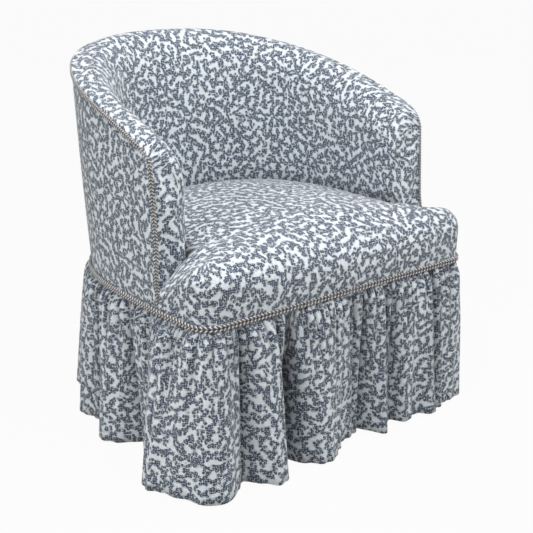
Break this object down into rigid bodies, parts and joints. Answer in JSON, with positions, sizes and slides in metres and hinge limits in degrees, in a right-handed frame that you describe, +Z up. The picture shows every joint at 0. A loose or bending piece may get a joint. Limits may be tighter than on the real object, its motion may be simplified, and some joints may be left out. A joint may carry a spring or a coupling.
{
  "type": "skirted tub chair",
  "caption": "Low upholstered tub chair with a rounded sloping back, a sprung tight seat with ears in front of the arms, rope braid trim and a gathered floor-length skirt.",
  "frame": {"origin": "centre of the chair's box, on the floor", "axes": "+X to the sitter's left, across the chair; -Y to the front; +Z up"},
  "size_m": [0.7992, 0.6942, 0.728],
  "materials": {
    "printed_linen": "blue and off-white printed linen, matt",
    "rope_braid": "taupe twisted rope braid with pale flecks",
    "beech": "plain planed beech, unfinished inside the covers",
    "spring_steel": "oiled spring wire and zinc wood screws",
    "nylon_glide": "dark moulded nylon",
    "jute_webbing": "woven jute",
    "hessian": "coarse woven hessian",
    "foam": "curled hair and foam stuffing in calico",
    "wadding": "soft polyester wadding",
    "black_cambric": "black cambric dust cover"
  },
  "bodies": {
    "root": {"inside_cover": "printed_linen", "outside_cover": "printed_linen", "seat_cover": "printed_linen", "skirt": "printed_linen", "edge_braid": "rope_braid", "skirt_braid": "rope_braid", "front_left_leg": "beech", "front_right_leg": "beech", "rear_left_leg_post": "beech", "rear_right_leg_post": "beech", "left_arm_post": "beech", "right_arm_post": "beech", "left_arm_rail": "beech", "right_arm_rail": "beech", "back_top_rail": "beech", "front_seat_rail": "beech", "left_seat_rail": "beech", "right_seat_rail": "beech", "rear_seat_rail": "beech", "front_left_block": "beech", "front_right_block": "beech", "rear_left_block": "beech", "rear_right_block": "beech", "front_left_spring": "spring_steel", "front_right_spring": "spring_steel", "middle_spring": "spring_steel", "rear_left_spring": "spring_steel", "rear_right_spring": "spring_steel", "front_left_block_screw_a": "spring_steel", "front_left_block_screw_b": "spring_steel", "front_right_block_screw_a": "spring_steel", "front_right_block_screw_b": "spring_steel", "rear_left_block_screw_a": "spring_steel", "rear_left_block_screw_b": "spring_steel", "rear_right_block_screw_a": "spring_steel", "rear_right_block_screw_b": "spring_steel", "front_left_glide": "nylon_glide", "front_right_glide": "nylon_glide", "rear_left_glide": "nylon_glide", "rear_right_glide": "nylon_glide", "lengthwise_strap_left": "jute_webbing", "lengthwise_strap_middle": "jute_webbing", "lengthwise_strap_right": "jute_webbing", "crosswise_strap_front": "jute_webbing", "crosswise_strap_middle": "jute_webbing", "crosswise_strap_rear": "jute_webbing", "seat_hessian": "hessian", "tub_hessian": "hessian", "seat_pad": "foam", "tub_pad": "foam", "outside_wadding": "wadding", "dust_cover": "black_cambric"}
  },
  "joints": []
}
